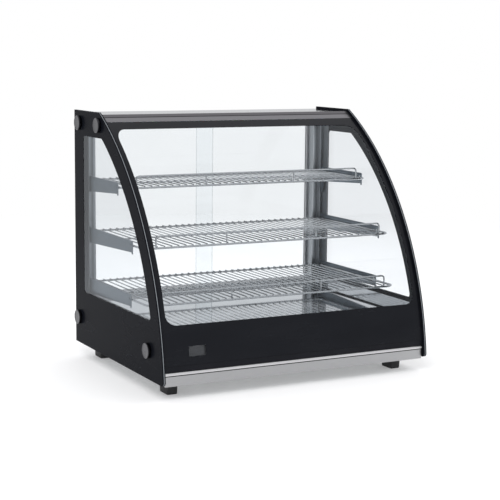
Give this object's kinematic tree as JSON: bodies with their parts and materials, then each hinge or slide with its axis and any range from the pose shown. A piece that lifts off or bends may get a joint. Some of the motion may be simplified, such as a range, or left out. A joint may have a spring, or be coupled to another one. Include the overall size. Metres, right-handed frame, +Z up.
{
  "type": "hot food display case",
  "caption": "Countertop heated food display case with curved glass front, black-bordered glass sides, wire shelves and sliding glass rear doors.",
  "frame": {"origin": "on the table, below the middle of the whole object (centre of the bounding box in plan)", "axes": "+X to the right seen from the front (the curved glass), +Y to the rear (the sliding doors), +Z up"},
  "size_m": [0.716, 0.568, 0.619],
  "materials": {
    "clear_glass": "clear toughened",
    "black_print": "gloss ceramic print",
    "satin_chrome": "satin",
    "zinc_steel": "zinc plated",
    "clear_plastic": "natural nylon",
    "black_rubber": "matte",
    "black_plastic": "satin",
    "satin_aluminium": "satin anodised",
    "display_window": "smoked gloss",
    "bronze_aluminium": "bronze anodised",
    "polished_steel": "mirror polished",
    "lamp_glass": "opal",
    "white_plastic": "satin",
    "galvanised_steel": "galvanised",
    "brushed_steel": "brushed",
    "bracket_steel": "satin",
    "chrome_wire": "bright chrome",
    "heater_sheath": "oxidised",
    "copper_bulb": "dull copper",
    "green_rocker": "gloss"
  },
  "bodies": {
    "cabinet": {"base_pan": "galvanised_steel", "bottom_shelf_brackets": "bracket_steel", "cord_gland": "black_plastic", "cord_tie": "black_plastic", "display_lens": "display_window", "display_module": "black_plastic", "door_track_bottom": "satin_aluminium", "door_track_top": "satin_aluminium", "feet": "black_rubber", "floor_tray": "polished_steel", "foot_screws": "zinc_steel", "front_glass": "clear_glass", "front_glass_channel": "black_plastic", "front_glass_seals": "black_rubber", "front_print": "black_print", "front_trim": "satin_aluminium", "heater_element": "heater_sheath", "heater_supports": "galvanised_steel", "lamp_holders": "white_plastic", "lamp_housing": "satin_aluminium", "lamp_switch_frame": "black_plastic", "lamp_tube": "lamp_glass", "left_rear_post": "brushed_steel", "left_side_border": "black_print", "left_side_glass": "clear_glass", "middle_shelf_brackets": "bracket_steel", "power_cord": "black_rubber", "power_plug": "black_plastic", "power_switch_frame": "black_plastic", "rear_control_panel": "brushed_steel", "right_rear_post": "brushed_steel", "right_side_border": "black_print", "right_side_glass": "clear_glass", "shelf_standards": "brushed_steel", "stud_bushes": "clear_plastic", "stud_caps": "satin_chrome", "stud_screws": "zinc_steel", "thermostat_body": "white_plastic", "thermostat_bulb": "copper_bulb", "top_bar_end_caps": "black_plastic", "top_corner_blocks": "black_plastic", "top_cover": "polished_steel", "top_front_bar": "bronze_aluminium", "top_shelf_brackets": "bracket_steel"},
    "left_door": {"left_door_glass": "clear_glass", "left_door_pull": "satin_aluminium", "left_door_glides": "white_plastic"},
    "right_door": {"right_door_glass": "clear_glass", "right_door_pull": "satin_aluminium", "right_door_glides": "white_plastic"},
    "top_shelf": {"top_shelf_deck": "chrome_wire", "top_guard_rail": "chrome_wire"},
    "middle_shelf": {"middle_shelf_deck": "chrome_wire", "middle_guard_rail": "chrome_wire"},
    "bottom_shelf": {"bottom_shelf_deck": "chrome_wire", "bottom_guard_rail": "chrome_wire"},
    "knob": {"thermostat_knob": "black_plastic", "thermostat_shaft": "zinc_steel"},
    "power_switch": {"power_rocker": "green_rocker"},
    "lamp_switch": {"lamp_rocker": "green_rocker"}
  },
  "joints": [
    {"name": "left_door_slide", "type": "slide", "parent": "cabinet", "child": "left_door", "axis": [1, 0, 0], "range_m": [0, 0.285]},
    {"name": "right_door_slide", "type": "slide", "parent": "cabinet", "child": "right_door", "axis": [-1, 0, 0], "range_m": [0, 0.285]},
    {"name": "top_shelf_lift", "type": "slide", "parent": "cabinet", "child": "top_shelf", "axis": [0, 0, 1], "range_m": [0, 0.03]},
    {"name": "middle_shelf_lift", "type": "slide", "parent": "cabinet", "child": "middle_shelf", "axis": [0, 0, 1], "range_m": [0, 0.03]},
    {"name": "bottom_shelf_lift", "type": "slide", "parent": "cabinet", "child": "bottom_shelf", "axis": [0, 0, 1], "range_m": [0, 0.03]},
    {"name": "thermostat_turn", "type": "hinge", "parent": "cabinet", "child": "knob", "pos_m": [-0.22, 0.27, 0.095], "axis": [0, 1, 0], "range_deg": [0, 270]},
    {"name": "power_rocker_tip", "type": "hinge", "parent": "cabinet", "child": "power_switch", "pos_m": [-0.15, 0.2535, 0.095], "axis": [1, 0, 0], "range_deg": [-10, 10]},
    {"name": "lamp_rocker_tip", "type": "hinge", "parent": "cabinet", "child": "lamp_switch", "pos_m": [-0.105, 0.2535, 0.095], "axis": [1, 0, 0], "range_deg": [-10, 10]}
  ]
}
